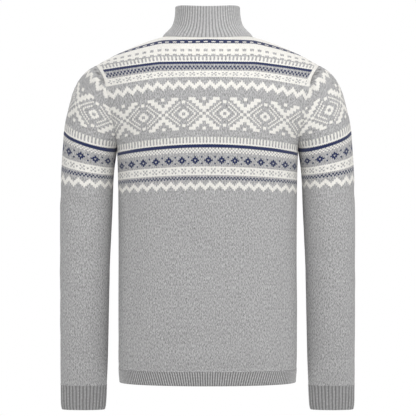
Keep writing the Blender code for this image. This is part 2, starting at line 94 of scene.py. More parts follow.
# Rings of the sleeve from the armpit down: the knit row at the outer and the inner edge,
# both edges, half depth, how far the ring sits forward, and how far it sinks between its edges
SLEEVE_NAMES = (
    "outer_row", "inner_row", "outer_x", "outer_z", "inner_x", "inner_z", "depth", "forward", "sag",
)
SLEEVE_SECTIONS = (
    (79.4, 79.5, 0.2877, -0.1925, 0.1810, ARMPIT, 0.0570, 0.000, 0.0110),
    (87.6, 86.9, 0.2895, -0.2200, 0.1838, -0.2440, 0.0568, 0.000, 0.0085),
    (96.3, 94.4, 0.2917, -0.2520, 0.1867, -0.2660, 0.0560, 0.000, 0.0060),
    (105.3, 103.8, 0.2935, -0.2870, 0.1885, -0.2930, 0.0548, 0.000, 0.0034),
    (120.0, 120.0, 0.2947, -0.3350, 0.1900, -0.3390, 0.0528, 0.000, 0.0018),
    (138.3, 138.3, 0.2952, -0.3900, 0.1925, -0.3915, 0.0500, 0.001, 0.0008),
    (156.7, 156.7, 0.2954, -0.4450, 0.1950, -0.4450, 0.0470, 0.003, 0.0),
    (175.0, 175.0, 0.2955, -0.5000, 0.1965, -0.5000, 0.0440, 0.006, 0.0),
    (193.3, 193.3, 0.2955, -0.5550, 0.1978, -0.5550, 0.0408, 0.010, 0.0),
    (211.7, 211.7, 0.2955, -0.6100, 0.1990, -0.6100, 0.0370, 0.014, 0.0),
    (226.7, 226.7, 0.2955, -0.6550, 0.2003, -0.6550, 0.0330, 0.018, 0.0),
    (235.7, 235.7, 0.2955, -0.6820, 0.2015, -0.6820, 0.0300, 0.021, 0.0),
    (240.7, 240.7, 0.2950, CUFF_TOP, 0.2025, CUFF_TOP, 0.0262, 0.0225, 0.0),
)
CUFF_NAMES = ("outer_x", "outer_z", "inner_x", "depth", "forward")
CUFF_SECTIONS = (
    (0.2950, CUFF_TOP, 0.2025, 0.0262, 0.0225),
    (0.2950, -0.7220, 0.2035, 0.0235, 0.0240),
    (0.2944, -0.7390, 0.2048, 0.0222, 0.0252),
    (0.2925, CUFF_BOTTOM, 0.2068, 0.0215, 0.0258),
)

# Top line of the sleeve from the shoulder tip to the armpit ring, with the knit row there
RIDGE_LINE = (
    (SHOULDER_HALF, -0.0573, 31.0), (0.2330, -0.0625, 35.0), (0.2430, -0.0695, 39.0),
    (0.2515, -0.0785, 42.6), (0.2590, -0.0885, 46.2), (0.2655, -0.1010, 50.4),
    (0.2710, -0.1150, 54.8), (0.2750, -0.1300, 59.2), (0.2790, -0.1460, 64.6),
    (0.2830, -0.1620, 70.2), (0.2858, -0.1770, 75.1), (0.2877, -0.1925, 79.4),
)

# Rings of the cap by their share of the armhole from the armpit up: their share of the top
# line, half depth and sag. Past CAP_TURN they close in, to CAP_END round at the shoulder tip.
CAP_NAMES = ("seam_share", "ridge_share", "depth", "sag")
CAP_SECTIONS = (
    (0.00, 0.000, 0.0570, 0.0110),
    (0.12, 0.150, 0.0595, 0.0100),
    (0.33, 0.450, 0.0650, 0.0070),
    (0.60, 0.850, 0.0640, 0.0030),
    (0.80, 0.950, 0.0520, 0.0010),
    (1.00, 1.000, 0.0300, 0.0000),
)
CAP_TURN = 0.60
CAP_END = math.radians(85)
CAP_STEPS = 90
SLEEVE_STEPS = 3 * CAP_STEPS
RING_STEPS = 48

# How far round a ring, in radians, its knit row bends over the top line
EASE_ANGLE = 0.42

# Collar: how far it has come in by each share of its height, and its top edge
COLLAR_NAMES = ("rise", "inward")
COLLAR_SECTIONS = (
    (0.00, 0.00), (0.10, 0.17), (0.23, 0.48), (0.36, 0.73), (0.56, 0.90), (0.78, 0.98),
    (1.00, 1.00),
)
COLLAR_TOP_HALF = 0.0642
COLLAR_TOP_DEPTH = 0.0665
COLLAR_TOP_FORWARD = 0.0120
COLLAR_TOP_HEIGHT = 0.0605
COLLAR_TOP_TILT = 0.0067
COLLAR_TOP_DIP = 0.0097

# Knit rows of the panels: the height of a row at the middle, and how it drops to the sides,
# by the square of the distance and by the distance beyond LEVEL_SHOULDER
LEVEL_SHOULDER = 0.095
LEVEL_NAMES = ("row", "height", "curve", "slope")
ROW_LEVELS = (
    (22.0, -0.0556, 0.000, 0.1070),
    (24.0, -0.0603, 0.010, 0.1060),
    (28.0, -0.0738, 0.065, 0.1035),
    (33.0, -0.0862, 0.142, 0.1000),
    (39.0, -0.1049, 0.220, 0.0960),
    (57.0, -0.1574, 0.500, 0.0000),
    (73.0, -0.2030, 0.440, 0.0000),
    (78.0, -0.2172, 0.435, 0.0000),
    (80.0, -0.2238, 0.430, 0.0000),
    (83.0, -0.2335, 0.395, 0.0000),
    (90.0, -0.2560, 0.322, 0.0000),
    (92.0, -0.2607, 0.306, 0.0000),
    (97.0, -0.2772, 0.266, 0.0000),
    (104.0, -0.2979, 0.209, 0.0000),
    (226.0, HEM_TOP, 0.000, 0.0000),
)

# The knit row that a panel's top edge lies on, by the distance from its middle: round the
# back's neck, and along the shoulder. Rows above the first of the charts are cream.
TOP_NAMES = ("x", "row")
NECK_ROWS = (
    (0.0, 1.0), (0.050, -0.8), (0.075, -3.3), (0.0831, -5.1), (0.0883, -7.3), (NECK_HALF, -10.2),
)
SHOULDER_ROWS = (
    (NECK_HALF, -10.2), (0.120, -9.0), (0.146, -7.2), (0.170, -3.6), (0.191, 3.3),
    (SHOULDER_HALF, 11.0),
)
TOP_ROW = -14
PANEL_END = ROW_LEVELS[-1][0]
SLEEVE_START = RIDGE_LINE[0][2]
SLEEVE_END = SLEEVE_SECTIONS[-1][0]

# Below SEAM_ROW the sleeve's knit rows meet the panel's at the armhole, a small lead ahead of
# them, and above it they gather towards the shoulder tip
SEAM_ROW = 39.0
SEAM_POWER = 1.4
LEAD_NAMES = ("row", "lead")
SEAM_LEADS = ((39.0, 0.0), (52.0, 0.7), (62.2, 1.8), (70.1, 3.1), (74.6, 3.5), (76.6, 3.0))

# Knit rows to a line of the grid where the knit is plain and at its last edge, and how far a
# stitch's point hangs, as a share of a row
PLAIN_STEP = 3
EDGE_STEP = 1.0
STITCH_DIP = 0.5

# Width of a stitch by knit row, and how much of its depth counts. A panel's stitches are
# stretched where it turns to the side.
STITCH_NAMES = ("row", "width")
PANEL_STITCHES = (
    (0, 0.00385), (16, 0.00380), (26, 0.00360), (36, 0.00343), (57, 0.00332), (79, 0.00325),
    (104, 0.00318), (226, 0.00318),
)
SLEEVE_STITCHES = ((31, 0.00380), (104, 0.00380), (241, 0.00360))
PANEL_STITCH = PANEL_STITCHES[-1][1]
SLEEVE_STITCH = SLEEVE_STITCHES[0][1]
PANEL_DEPTH_WEIGHT = 0.45
SLEEVE_DEPTH_WEIGHT = 1.0

# Ribs of each band, and how finely it and the columns of a panel are drawn
HEM_RIBS = 94
CUFF_RIBS = 32
COLLAR_RIBS = 70
RIB_STEPS = 6
RIB_RAISE = 0.0018
PROFILE_STEPS = 160
NECK_COLUMNS = 25
SHOULDER_COLUMNS = 31
SETTLING_ROUNDS = 8
TINY = 1e-9

# Soft folds: the share across the piece, the height, the slope in degrees, and their sizes
FOLD_COLUMNS = ("piece", "across", "height", "slope", "reach", "breadth", "depth")
FOLDS = (
    ("back", -0.74, -0.300, -62.0, 0.070, 0.016, 0.0024),
    ("back", 0.75, -0.308, 60.0, 0.066, 0.015, 0.0022),
    ("back", -0.60, -0.520, 82.0, 0.110, 0.024, 0.0032),
    ("back", 0.66, -0.560, -84.0, 0.090, 0.022, 0.0026),
    ("back", -0.15, -0.610, 8.0, 0.090, 0.016, 0.0020),
    ("front", -0.70, -0.290, -60.0, 0.085, 0.018, 0.0034),
    ("front", 0.72, -0.300, 58.0, 0.080, 0.017, 0.0030),
    ("front", -0.55, -0.540, -82.0, 0.100, 0.024, 0.0030),
    ("front", 0.58, -0.500, 80.0, 0.110, 0.024, 0.0032),
    ("sleeve", -0.30, -0.330, 24.0, 0.050, 0.014, 0.0026),
    ("sleeve", -0.42, -0.445, -14.0, 0.055, 0.013, 0.0022),
    ("sleeve", 0.45, -0.415, 12.0, 0.050, 0.012, 0.0036),
    ("sleeve", 0.55, -0.455, -8.0, 0.055, 0.012, 0.0040),
    ("sleeve", 0.40, -0.500, 14.0, 0.045, 0.013, 0.0030),
    ("sleeve", -0.50, -0.640, 10.0, 0.045, 0.012, 0.0022),
    ("sleeve", 0.50, -0.650, -10.0, 0.045, 0.012, 0.0024),
)
FOLD_SCALE = {"back": 0.26, "front": 0.26, "sleeve": 0.155}
FOLD_FADE = {"back": 6, "front": 6, "sleeve": 8}

# Yarns, and the charts: each band has its ground, its figure and its knit rows from the
# neck down, one string to a row, repeated round the piece. '#' is a stitch of the figure.
GREY, CREAM, NAVY = 0, 1, 2
ZIGZAG = ("#.....", "##...#", "###.##", ".#####", "..###.", "...#..")
X_DOTS = ("......", ".#.#..", "..#..#", ".#.#..", "......")
DIAMONDS = ("..#...#.", ".###....", "##.##...", ".###....", "..#...#.")
ROSE_HALF = (
    ".##..#...##.", "#..#..#...##", "#...#..#...#", "###..#..#...", "###...#..#..", ".####..#....",
    ".####...#...", "...####..#.#", "...####....#", "#....####...", "#....####...",
)
ROSE = tuple(row + row[::-1] for row in ROSE_HALF[::-1] + ROSE_HALF)
DASHES = "##.."
BANDS = (
    (CREAM, CREAM, (".",) * 3),
    (NAVY, CREAM, (".", ".", DASHES, ".")),
    (CREAM, CREAM, (".",) * 5),
    (CREAM, GREY, (DASHES, DASHES, ".", ".", DASHES)),
    (GREY, CREAM, (".",) + ("#.",) * 3),
    (CREAM, CREAM, (".",)),
    (NAVY, NAVY, (".",) * 2),
    (GREY, NAVY, (".", "#.", ".#", ".")),
    (CREAM, GREY, X_DOTS),
    (GREY, CREAM, (".",) * 2 + ZIGZAG + (".",) * 5),
    (GREY, CREAM, ROSE),
    (GREY, CREAM, (".",) * 5 + ("#.",) * 4 + ("#",)),
    (NAVY, NAVY, (".",) * 2),
    (CREAM, GREY, ("#.", ".#", "#.")),
    (GREY, NAVY, (".",) * 2 + DIAMONDS + (".",) * 2),
    (CREAM, GREY, X_DOTS),
    (GREY, NAVY, (".", "#.", ".#", ".")),
    (GREY, CREAM, ZIGZAG),
)
CHART = tuple((ground, figure, row) for ground, figure, rows in BANDS for row in rows)
PATTERN_END = len(CHART)

# The sleeve is plain grey above SLEEVE_PLAIN_ROWS, and a panel has EDGE_STITCHES of cream
# beside its armholes above EDGE_ROWS
SLEEVE_PLAIN_ROWS = 36
EDGE_ROWS = 33
EDGE_STITCHES = 2

# Where each repeat starts, by its length in stitches and by whether it is a lower band
LOWER_BANDS = 68
PANEL_SHIFTS = {(24, False): -2, (8, True): -2, (6, False): 1, (6, True): 1, (4, False): 2}
SLEEVE_SHIFTS = {
    "sleeve_left": {(24, False): 13, (8, True): 1},
    "sleeve_right": {(24, False): 8, (8, True): 1},
}

# Small creases: how many, where, which way they run, and their sizes
PANEL_CREASES = {
    "count": 34, "heights": (-0.64, -0.16), "slope": 90, "turn": 40,
    "reach": (0.020, 0.070), "breadth": (0.007, 0.018), "depth": (0.0002, 0.0008),
}
SLEEVE_CREASES = {
    "count": 40, "heights": (-0.68, -0.26), "slope": 0, "turn": 30,
    "reach": (0.015, 0.045), "breadth": (0.006, 0.014), "depth": (0.0003, 0.0010),
}
CREASES = {"back": PANEL_CREASES, "front": PANEL_CREASES, "sleeve": SLEEVE_CREASES}
PANEL_SEEDS = {"back": 11, "front": 12}
SLEEVE_SEEDS = {"sleeve_left": 13, "sleeve_right": 14}

# Over how much height folds and creases fade beside the hem, the cuff and the armpit
HEM_FADE = 0.030
CUFF_FADE = 0.020
ARMPIT_FADE = 0.040

# Seams: depths of the groove and the soft puff beside it, and the rise beside a band
ARMHOLE_GROOVE = 0.0003
SIDE_GROOVE = 0.0006
EDGE_RISE = 0.0009
EDGE_BREADTH = 0.0030
GROOVE_BREADTH = 0.0032
PUFF_SHARE = 0.5
PUFF_PLACE = 0.0085
PUFF_BREADTH = 0.0042

# How far the cloth beside the armhole stands out over the hollow there, by its height
SPAN_NAMES = ("height", "lift")
SPAN_SECTIONS = (
    (ARMPIT, 0.0), (-0.215, 0.0045), (-0.200, 0.0075), (-0.180, 0.0080), (-0.160, 0.0070),
    (-0.140, 0.0070), (-0.120, 0.0080), (-0.100, 0.0095), (-0.085, 0.0095), (-0.070, 0.0085),
    (-0.062, 0.0045), (-0.0573, 0.0),
)
SPAN_BREADTH = 0.025

# Ribbed bands: the ribs' roundness, how much of their height sinks into the cloth and shows
# inside, how the hem's ribs lean, and how the ribs fade at the seam
RIB_ROUND = 0.8
RIB_SINK = 0.6
INNER_RIB = 0.4
HEM_LEAN = 0.014
SEAM_FADE = 0.0035
SEAM_RISE = 0.0005
EDGE_STEPS = 3
COLLAR_ROWS = 22
HEM_ROWS = 8
CUFF_ROWS = 12

# Points closer than WELD are one, and only edges past SHARP_ANGLE are shaded as sharp
WELD = 1e-7
SHARP_ANGLE = math.radians(75)

# Wool: its yarns' colours, its finish, the depth of its bump, and its painted shade between
# stitches
GREY_WOOL = (0.374, 0.372, 0.373)
CREAM_WOOL = (0.77, 0.752, 0.71)
NAVY_WOOL = (0.008, 0.017, 0.075)
WOOL_FINISH = {
    "Roughness": 0.92, "Specular IOR Level": 0.2, "Sheen Weight": 0.12, "Sheen Roughness": 0.6,
}
STITCH_BUMP = 0.0007
RIB_BUMP = 0.0005
STITCH_SHADE = 0.32

# Ribbed wool: how much painted shade darkens the hollows between the ribs, and how much lighter
# than the knit it is
RIBS = {"collar_rib": (0.60, 1.38), "hem_rib": (0.82, 1.56), "cuff_rib": (0.64, 1.05)}

# Shape of a stitch: the roundness of its legs and loops, how much a loop sinks between rows,
# and how much the bars of the wrong side waver
LEG_ROUND = 0.5
LOOP_ROUND = 0.7
LOOP_SINK = 0.6
BAR_WAVE = 0.2

# Heathering: how much of it each wool takes, its parts by fibre and by stitch, and the drift
GREY_FLECK = 1.6
RIB_FLECK = 0.5
COLOUR_FLECK = 0.3
FIBRE_FLECK = 0.70
FLECK_SCALE = 560.0
FLECK_DETAIL = 3.0
STITCH_FLECK = 0.24
DRIFT = 0.05
DRIFT_SCALE = 25.0
DRIFT_DETAIL = 2.0

# Each piece's material slot, the width and length of its cut, and the area of a shaped one
FLATS = {
    "back": ("patterned_knit", (0.50, 0.69), None),
    "front": ("patterned_knit", (0.50, 0.69), None),
    "sleeve_left": ("patterned_knit", (0.35, 0.66), 0.18),
    "sleeve_right": ("patterned_knit", (0.35, 0.66), 0.18),
    "collar": ("ribbed_knit", (0.48, 0.085), None),
    "cuff_left": ("ribbed_knit", (0.24, 0.050), None),
    "cuff_right": ("ribbed_knit", (0.24, 0.050), None),
    "hem_back": ("ribbed_knit", (0.48, 0.028), None),
    "hem_front": ("ribbed_knit", (0.48, 0.028), None),
}

# Camera, floor, the world's brightness by steepness, and each light's place, sizes and power
CAMERA_PLACE = (0.0008, -4.5, -0.342)
CAMERA_LENS = 194.7
CAMERA_SENSOR = 36.0
FLOOR_HEIGHT = -1.10
FLOOR_RADIUS = 3.2
FLOOR_SIDES = 96
FLOOR_COLOUR = (0.85, 0.85, 0.85)
FLOOR_ROUGHNESS = 0.9
WORLD_RANGE = {"From Min": 0.12, "From Max": 0.40, "To Min": 1.0, "To Max": 0.69}
KEY = ((0.36, -1.40, 0.85), (3.2, 0.8), 38.0)
REAR = ((-0.60, 2.50, 1.05), (2.4, 1.0), 50.0)
LIGHT_AIM = (0, 0, -0.34)


def smooth_curve(stations, values, wanted):
    """A cubic through a table's rows that never overshoots between them."""
    stations = np.asarray(stations, float)
    values = np.asarray(values, float)
    if stations[0] > stations[-1]:
        stations, values = stations[::-1], values[::-1]
    steps = np.diff(stations)
    slopes = np.diff(values) / steps
    tangents = np.zeros(len(values))
    tangents[0], tangents[-1] = slopes[0], slopes[-1]
    product = slopes[:-1] * slopes[1:]
    total = np.where(product > 0, slopes[:-1] + slopes[1:], 1.0)
    tangents[1:-1] = np.where(product > 0, 2 * product / total, 0.0)
    wanted = np.clip(wanted, stations[0], stations[-1])
    left = np.clip(np.searchsorted(stations, wanted) - 1, 0, len(steps) - 1)
    step = steps[left]
    share = (wanted - stations[left]) / step
    rest = 1 - share
    start = values[left] * (1 + 2 * share) + step * share * tangents[left]
    end = values[left + 1] * (1 + 2 * rest) - step * rest * tangents[left + 1]
    return rest**2 * start + share**2 * end


def table_value(rows, names, key, name, wanted):
    """The named column of a table, at wanted places of its key column."""
    return smooth_curve(
        [row[names.index(key)] for row in rows], [row[names.index(name)] for row in rows], wanted
    )


def torso_value(name, height):
    return table_value(TORSO_SECTIONS, TORSO_COLUMNS, "height", name, height)


def ridge_height(x):
    """Height of the shoulder line."""
    return RIDGE_TOP - RIDGE_FALL * np.abs(x) ** RIDGE_POWER


def torso_points(side, across, climb):
    """Points of one side of the torso.

    across runs from -1 to 1 between the panel's edges. climb is metres below
    SADDLE_START where it is negative, and the angle up over the shoulder where positive.
    """
    angle = np.clip(climb, 0.0, math.pi / 2)
    power = 2 / SADDLE_ROUND[side]
    rise = np.sin(angle) ** power
    flat = SADDLE_START + np.minimum(climb, 0.0)
    height = flat
    for _ in range(SETTLING_ROUNDS):
        half = torso_value("half_width", height)
        panel = np.minimum(torso_value("panel_half", height) / half, 1)
        x = half * np.sin(np.arcsin(panel) * across)
        height = flat + rise * (ridge_height(x) - SADDLE_START)
    bulge = (1 - np.minimum(np.abs(x / half), 1) ** TORSO_ROUND) ** (1 / TORSO_ROUND)
    depth = torso_value(side + "_depth", height) * bulge * np.maximum(np.cos(angle), 0) ** power
    return np.stack([x, DEPTH_SIGN[side] * depth, height], axis=-1)


def neck_across(x):
    """The share across a panel of a column that meets the shoulder line at x."""
    half = torso_value("half_width", ridge_height(SHOULDER_HALF))
    return np.arcsin(x / half) / math.asin(SHOULDER_HALF / half)


def top_angle(side, across):
    """Where a column ends: on the neckline, or on the shoulder line beyond it."""
    half = torso_value("half_width", ridge_height(SHOULDER_HALF))
    x = half * math.sin(math.asin(SHOULDER_HALF / half) * across)
    inside = 1 - (x / NECK_HALF) ** 2
    if inside <= TINY:
        return math.pi / 2
    bulge = (1 - abs(x / half) ** TORSO_ROUND) ** (1 / TORSO_ROUND)
    depth = torso_value(side + "_depth", ridge_height(SHOULDER_HALF)) * bulge
    return math.acos((NECK_DEPTH[side] * math.sqrt(inside) / depth) ** (SADDLE_ROUND[side] / 2))


def lengths_along(points):
    steps = np.linalg.norm(np.diff(points[:, :3], axis=0), axis=1)
    return np.concatenate([[0], np.cumsum(steps)])


def at_lengths(points, lengths, wanted):
    return np.stack([np.interp(wanted, lengths, values) for values in points.T], axis=-1)


def along(points, shares):
    """Points at shares of a line's length."""
    lengths = lengths_along(points)
    return at_lengths(points, lengths / lengths[-1], shares)


def panel_column(side, across):
    """A closely spaced line down a panel, from its top edge to the hem: x, y, z and across."""
    curved = np.linspace(top_angle(side, across), 0, PROFILE_STEPS)[:-1]
    straight = np.linspace(0, HEM_TOP - SADDLE_START, 2 * PROFILE_STEPS)
    points = torso_points(side, across, np.concatenate([curved, straight]))
    return np.column_stack([points, np.full(len(points), across)])


def row_places(points, lengths):
    """How far down a column each of the rows of ROW_LEVELS crosses it."""
    out = np.abs(points[:, 0])
    places = []
    for values in ROW_LEVELS:
        level = dict(zip(LEVEL_NAMES, values))
        drop = level["curve"] * out**2 + level["slope"] * np.maximum(out - LEVEL_SHOULDER, 0)
        above = points[:, 2] - (level["height"] - drop)
        places.append(np.interp(0, -above, lengths))
    places[-1] = lengths[-1]
    return places


def panel_lines(side):
    """Columns of one half of a panel from its middle out: their points and their knit rows.

    The front's neckline is deeper, so its rows above the first level are spread by distance.
    """
    neck = neck_across(NECK_HALF * np.sin(np.linspace(0, math.pi / 2, NECK_COLUMNS)))
    stations = np.concatenate([neck, np.linspace(neck[-1], 1, SHOULDER_COLUMNS)[1:]])
    columns = [panel_column(side, across) for across in stations]
    lengths = [lengths_along(points) for points in columns]
    places = [row_places(points, run) for points, run in zip(columns, lengths)]
    corner = len(neck) - 1
    level = ROW_LEVELS[0][0]
    lines = []
    for index, (points, run, found) in enumerate(zip(columns, lengths, places)):
        table = SHOULDER_ROWS if index > corner else NECK_ROWS
        top = float(table_value(table, TOP_NAMES, "x", "row", points[0, 0]))
        if side == "front" and index < corner:
            top = level + (table[-1][1] - level) * found[0] / places[corner][0]
        rows = smooth_curve([0] + found, [top] + [values[0] for values in ROW_LEVELS], run)
        lines.append((points, rows))
    return lines


def armhole_line(lines):
    """The armhole seam from the armpit up: its points, and the panel's knit row at each."""
    points, rows = lines[-1]
    above = points[:, 2] >= ARMPIT - TINY
    return points[above, :3][::-1], rows[above][::-1]


def arm_half(outer, seam, depth, sag, end):
    """Half a ring of the sleeve, from its outer edge to its seam, as a part of an ellipse.

    It gives the points, how far in each is, and the rows that round a knit row's crest.
    """
    angles = end * np.linspace(0, 1, RING_STEPS + 1)
    inward = (1 - np.cos(angles)) / (1 - math.cos(end))
    x, z = (outer[axis] + inward * (seam[axis] - outer[axis]) for axis in (0, 2))
    sunk = sag * np.sin(math.pi * angles / end)
    crest = sag * math.pi / end * angles * np.exp(-((angles / EASE_ANGLE) ** 2)) / ROW
    return np.stack([x, depth * np.sin(angles), z - sunk, angles / end], axis=-1), inward, crest


def cap_half(side, seam, share):
    """Half a ring of the cap at a share of the armhole, with the knit row on the top line."""
    line = np.array([(x, 0.0, z, row) for x, z, row in reversed(RIDGE_LINE)])
    cap = (CAP_SECTIONS, CAP_NAMES, "seam_share")
    outer = along(line, [float(table_value(*cap, "ridge_share", share))])[0]
    depth = float(table_value(*cap, "depth", share))
    sag = float(table_value(*cap, "sag", share))
    end = math.pi
    if share >= 1:
        depth = 0.0
    elif abs(seam[1]) > TINY:
        wrapped = math.pi - math.asin(min(abs(seam[1]) / depth, 1.0))
        top = min(max((share - CAP_TURN) / (1 - CAP_TURN), 0), 1)
        end = wrapped + (CAP_END - wrapped) * top**2 * (3 - 2 * top)
        depth = abs(seam[1]) / math.sin(end)
    return *arm_half(outer, seam, DEPTH_SIGN[side] * depth, sag, end), outer[3]


def seam_rows(points, rows):
    """The sleeve's knit row along the armhole: the panel's below, its own round the shoulder."""
    lengths = lengths_along(points)
    meeting = np.interp(-SEAM_ROW, -rows, lengths)
    share = np.clip((lengths[-1] - lengths) / (lengths[-1] - meeting), 0, 1)
    own = SLEEVE_START + (SEAM_ROW - SLEEVE_START) * share**SEAM_POWER
    lower = rows + table_value(SEAM_LEADS, LEAD_NAMES, "row", "lead", rows)
    return lengths / lengths[-1], np.where(rows > SEAM_ROW, lower, own)


def sleeve_lines(side, armhole):
    """Columns of one half of the right sleeve, from its top line round to its seam."""
    points, rows = armhole
    shares, seam_row = seam_rows(points, rows)
    rings, ring_rows = [], []
    for share in np.linspace(1, 0, CAP_STEPS + 1)[:-1]:
        ring, inward, crest, row = cap_half(side, along(points, [share])[0], share)
        rings.append(ring)
        ring_rows.append(row + (np.interp(share, shares, seam_row) - row) * inward + crest)
    for wanted in np.linspace(SLEEVE_SECTIONS[0][0], SLEEVE_END, SLEEVE_STEPS):
        value = {
            name: float(table_value(SLEEVE_SECTIONS, SLEEVE_NAMES, "outer_row", name, wanted))
            for name in SLEEVE_NAMES
        }
        outer = np.array([value["outer_x"], 0.0, value["outer_z"]])
        seam = np.array([value["inner_x"], 0.0, value["inner_z"]])
        depth = DEPTH_SIGN[side] * value["depth"]
        ring, inward, crest = arm_half(outer, seam, depth, value["sag"], math.pi)
        rings.append(ring + (0, value["forward"], 0, 0))
        ring_rows.append(wanted + (value["inner_row"] - wanted) * inward + crest)
    rings, ring_rows = np.array(rings), np.maximum.accumulate(np.array(ring_rows), axis=0)
    return [(rings[:, place], ring_rows[:, place]) for place in range(RING_STEPS + 1)]


def row_line(lines, tops, known, row, width, weight):
    """One knit row across a half of a piece: its points, and the stitch number at each.

    tops holds the knit row at the top of each column, known the stitch number of each column on
    the first row that reaches the middle, and weight how much depth counts in a stitch's width.
    """
    inside = np.nonzero(tops <= row + TINY)[0]
    first, last = inside[0], inside[-1]
    points = [
        at_lengths(lines[place][0], lines[place][1], [row])[0] for place in range(first, last + 1)
    ]
    start = float(first)
    for place, beyond, where in ((last, last + 1, len(points)), (first, first - 1, 0)):
        if 0 <= beyond < len(lines):
            share = (row - tops[place]) / (tops[beyond] - tops[place])
            near, far = lines[place][0][0], lines[beyond][0][0]
            points.insert(where, near + (far - near) * share)
            start -= share if beyond < place else 0
    points = np.array(points)
    numbers = lengths_along(points * (1, weight, 1, 1)) / width
    return points, numbers + np.interp(start, np.arange(len(known)), known)


def half_grid(lines, stitches, levels, weight):
    """A grid over one half of a piece, a column to each half stitch, pinched at its edges.

    It gives the points, the stitch number of each, and how many stitches it is from the end.
    """
    tops = np.array([rows[0] for _, rows in lines])

    def line_at(row, known):
        row = max(row, tops.min())
        width = float(table_value(stitches, STITCH_NAMES, "row", "width", row))
        return row_line(lines, tops, known, row, width, weight)

    known = line_at(math.ceil(tops[0] - TINY), [0.0])[1]
    pairs = [[line_at(row, known) for row in pair] for pair in levels]
    count = math.ceil(2 * max(pair[0][1][-1] for pair in pairs))
    wanted = np.arange(count + 1) / 2
    odd = np.arange(count + 1) % 2 == 1
    grid, number, end = [], [], []
    for (points, numbers), (dipped, dipped_numbers) in pairs:
        chosen = np.clip(wanted, numbers[0], numbers[-1])
        row = at_lengths(points, numbers, chosen)
        low, high = max(numbers[0], dipped_numbers[0]), min(numbers[-1], dipped_numbers[-1])
        dips = odd & (wanted > low) & (wanted < high)
        row[dips] = at_lengths(dipped, dipped_numbers, wanted[dips])
        grid.append(row)
        number.append(chosen)
        end.append(numbers[-1] - chosen)
    return np.array(grid), np.array(number), np.array(end)


def row_levels(start, finish):
    """Pairs of knit rows: where the even and the odd columns of each line of a grid lie."""
    patterned = np.arange(start, PATTERN_END + 1, dtype=float)
    plain = np.arange(PATTERN_END + PLAIN_STEP, finish - PLAIN_STEP / 2, PLAIN_STEP)
    rows = np.concatenate([patterned, plain, [finish - EDGE_STEP, finish]])
    dips = np.full(len(rows), STITCH_DIP)
    dips[[0, -2, -1]] = 0
    return np.stack([rows, rows + dips], axis=1)


def yarn_at(row, stitch, shifts):
    """The yarn of one stitch by the charts, and the yarn that crosses behind it."""
    if row < 0:
        return CREAM, CREAM
    ground, figure, line = CHART[row]
    place = (stitch - shifts.get((len(line), row >= LOWER_BANDS), 0)) % len(line)
    if "#" not in line:
        return ground, ground
    return (figure, ground) if line[place] == "#" else (ground, figure)


def stitch_yarns(levels, number, end, sign, piece):
    """The yarn of each face of a half grid, and the one behind it."""
    rows, columns = number.shape
    yarns = np.zeros((rows - 1, columns - 1, 2))
    sleeve = piece.startswith("sleeve")
    shifts = SLEEVE_SHIFTS.get(piece, PANEL_SHIFTS)
    for place in range(rows - 1):
        row = int(levels[place, 0])
        if row >= PATTERN_END or (sleeve and row < SLEEVE_PLAIN_ROWS):
            continue
        middles = sign * (number[place, :-1] + number[place, 1:]) / 2
        for column, middle in enumerate(middles):
            yarns[place, column] = yarn_at(row, math.floor(middle), shifts)
        if not sleeve and row < EDGE_ROWS:
            yarns[place, end[place, 1:] < EDGE_STITCHES] = CREAM
    return yarns


def fold_depth(piece, across, height):
    """How far the soft folds draw a piece in, at a share across it and a height."""
    drawn = np.zeros(np.shape(height))
    for values in FOLDS:
        fold = dict(zip(FOLD_COLUMNS, values))
        if fold["piece"] == piece:
            drawn += fold["depth"] * fold_shape(piece, fold, across, height)
    return drawn


def fold_shape(piece, fold, across, height):
    slope = math.radians(fold["slope"])
    side = (across - fold["across"]) * FOLD_SCALE[piece]
    up = height - fold["height"]
    length = side * math.cos(slope) + up * math.sin(slope)
    breadth = up * math.cos(slope) - side * math.sin(slope)
    return np.exp(-((length / fold["reach"]) ** 2) - (breadth / fold["breadth"]) ** 2)


def crease_depth(piece, across, height, seed):
    """Small uneven creases, raised and sunk, over a whole piece."""
    random = np.random.default_rng(seed)
    kind = CREASES[piece]
    raised = np.zeros(np.shape(height))
    for _ in range(kind["count"]):
        fold = {
            "across": random.uniform(-1, 1),
            "height": random.uniform(*kind["heights"]),
            "slope": kind["slope"] + random.uniform(-1, 1) * kind["turn"],
            "reach": random.uniform(*kind["reach"]),
            "breadth": random.uniform(*kind["breadth"]),
        }
        size = random.uniform(*kind["depth"]) * random.choice((-1, 1))
        raised += size * fold_shape(piece, fold, across, height)
    return raised


def bump_near(distance, place, breadth):
    """A round bump of height one about a place."""
    return np.exp(-(((distance - place) / breadth) ** 2))


def spanned(grid, side, gap):
    """A grid with its edge lifted beside the armhole, so that the cloth spans the hollow."""
    lift = table_value(SPAN_SECTIONS, SPAN_NAMES, "height", "lift", grid[..., 2])
    lift = lift * np.clip(1 - gap / SPAN_BREADTH, 0, 1) ** 2
    return grid + DEPTH_SIGN[side] * lift[..., None] * np.array((0, 1, 0, 0))


def seam_relief(height, gap, band_height):
    """The groove and the puff at a gap from the seam, and the rise where a band is joined."""
    groove = np.where(height > ARMPIT, ARMHOLE_GROOVE, SIDE_GROOVE)
    puff = PUFF_SHARE * bump_near(gap, PUFF_PLACE, PUFF_BREADTH)
    beside = groove * (puff - bump_near(gap, 0, GROOVE_BREADTH))
    return beside + EDGE_RISE * bump_near(height, band_height, EDGE_BREADTH)


def panel_relief(side, grid, gap, seed):
    """How far a panel's cloth is raised by its folds, its creases and its seams."""
    across, height = grid[..., 3], grid[..., 2]
    above = np.clip((height - HEM_TOP) / HEM_FADE, 0, 1)
    drawn = fold_depth(side, across, height) * (1 - np.abs(across) ** FOLD_FADE[side])
    creased = crease_depth(side, across, height, seed)
    return (creased - drawn) * above + seam_relief(height, gap, HEM_TOP)


